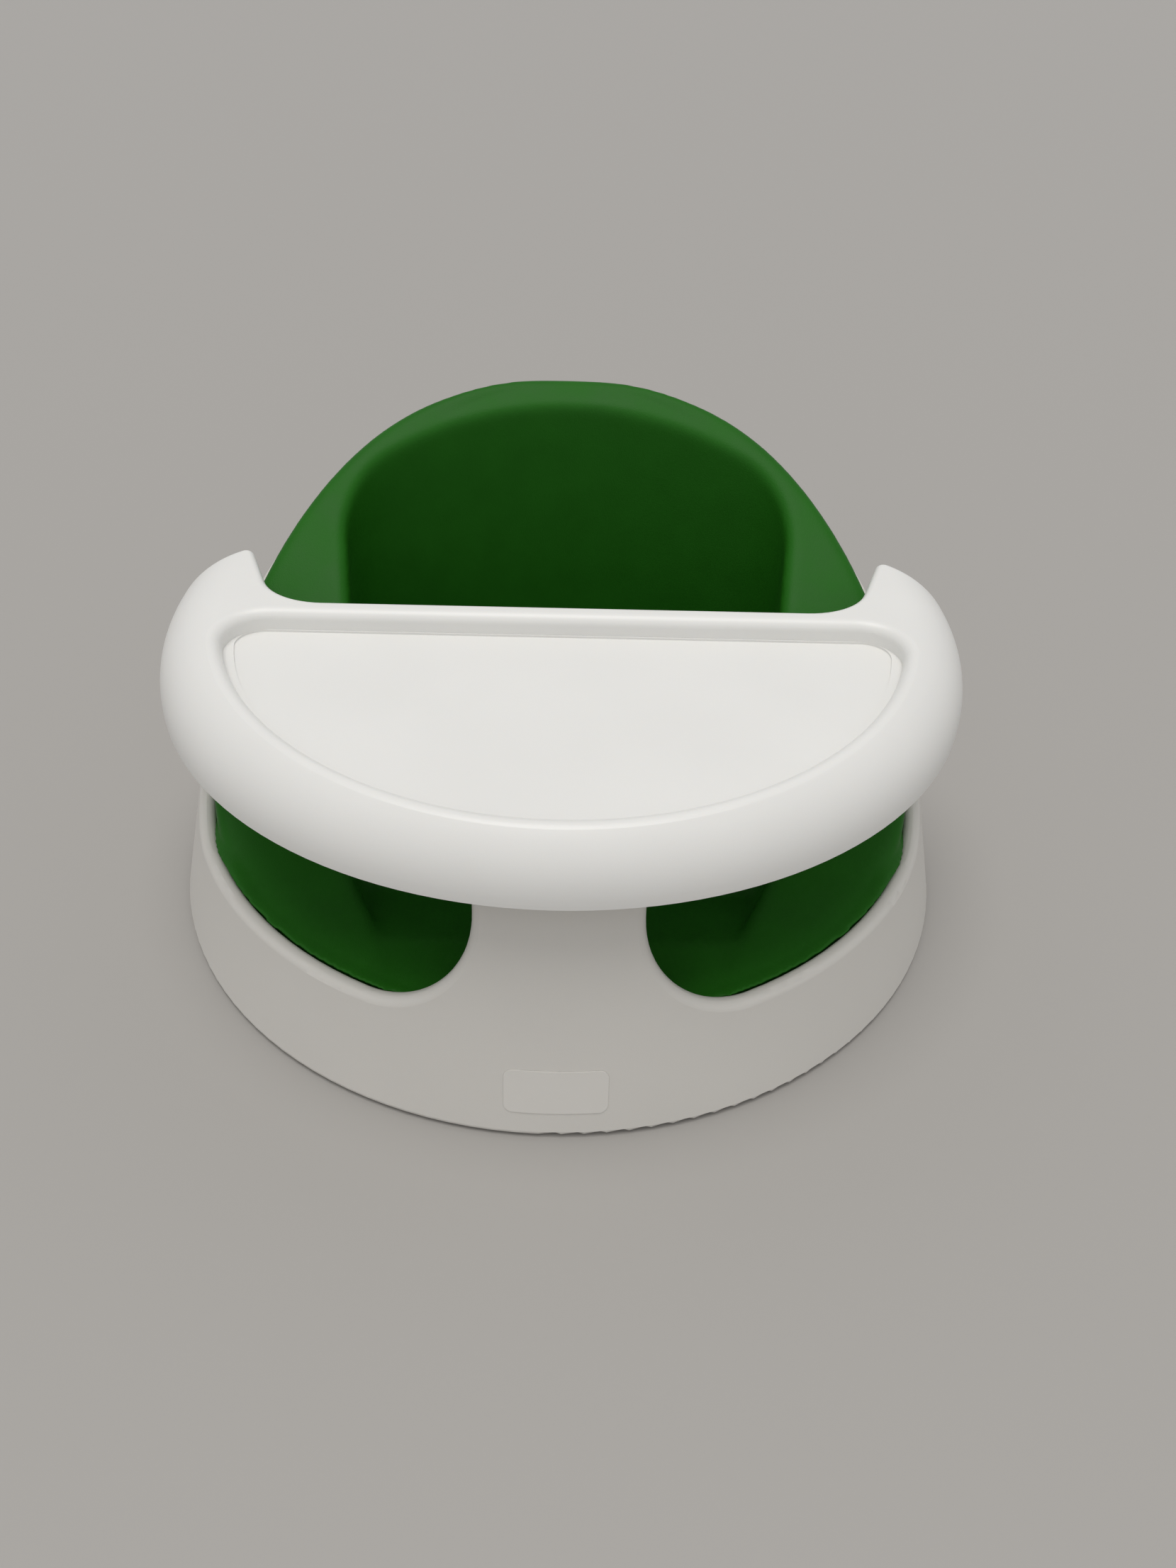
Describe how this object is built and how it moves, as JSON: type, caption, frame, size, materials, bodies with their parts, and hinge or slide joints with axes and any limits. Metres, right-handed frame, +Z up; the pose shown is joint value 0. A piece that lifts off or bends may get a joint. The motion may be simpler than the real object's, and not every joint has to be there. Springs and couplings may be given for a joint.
{
  "type": "infant floor seat with play tray",
  "caption": "Low round infant floor seat: a leaning plastic shell with leg openings and a pommel, a moulded foam bucket insert and a lift-off half-moon tray.",
  "frame": {"origin": "middle of the floor contact, under the centre of the round base", "axes": "+Z up; the seat faces -Y; +X to the right of someone looking at its front"},
  "size_m": [0.4183, 0.4183, 0.2183],
  "materials": {
    "white_shell": "satin moulded",
    "white_tray": "satin moulded",
    "white_inner": "plain moulded",
    "foot_rubber": "matte",
    "screw_steel": "zinc plated",
    "label_white": "smooth",
    "green_foam": "skinned polyurethane foam with a fine grain"
  },
  "bodies": {
    "base": {"outer_shell": "white_shell", "seat_pan": "white_inner", "base_plate": "white_inner", "foot_1": "foot_rubber", "foot_2": "foot_rubber", "foot_3": "foot_rubber", "foot_4": "foot_rubber", "foot_5": "foot_rubber", "foot_6": "foot_rubber", "label_plate": "label_white", "shell_screw_1": "screw_steel", "shell_screw_2": "screw_steel", "shell_screw_3": "screw_steel", "shell_screw_4": "screw_steel", "shell_screw_5": "screw_steel", "shell_screw_6": "screw_steel", "pan_screw_1": "screw_steel", "pan_screw_2": "screw_steel", "pan_screw_3": "screw_steel", "pan_screw_4": "screw_steel", "pan_screw_5": "screw_steel", "pan_screw_6": "screw_steel"},
    "insert": {"foam_insert": "green_foam"},
    "tray": {"tray_top": "white_tray", "tray_underside": "white_inner", "left_clip": "white_inner", "right_clip": "white_inner", "tray_screw_1": "screw_steel", "tray_screw_2": "screw_steel", "tray_screw_3": "screw_steel", "tray_screw_4": "screw_steel", "tray_screw_5": "screw_steel", "tray_screw_6": "screw_steel", "clip_screw_1": "screw_steel", "clip_screw_2": "screw_steel", "clip_screw_3": "screw_steel", "clip_screw_4": "screw_steel"}
  },
  "joints": [
    {"name": "insert_lift", "type": "slide", "parent": "base", "child": "insert", "axis": [0, 0, 1], "range_m": [0, 0.21]},
    {"name": "tray_lift", "type": "slide", "parent": "insert", "child": "tray", "axis": [0, 0, 1], "range_m": [0, 0.1]}
  ]
}
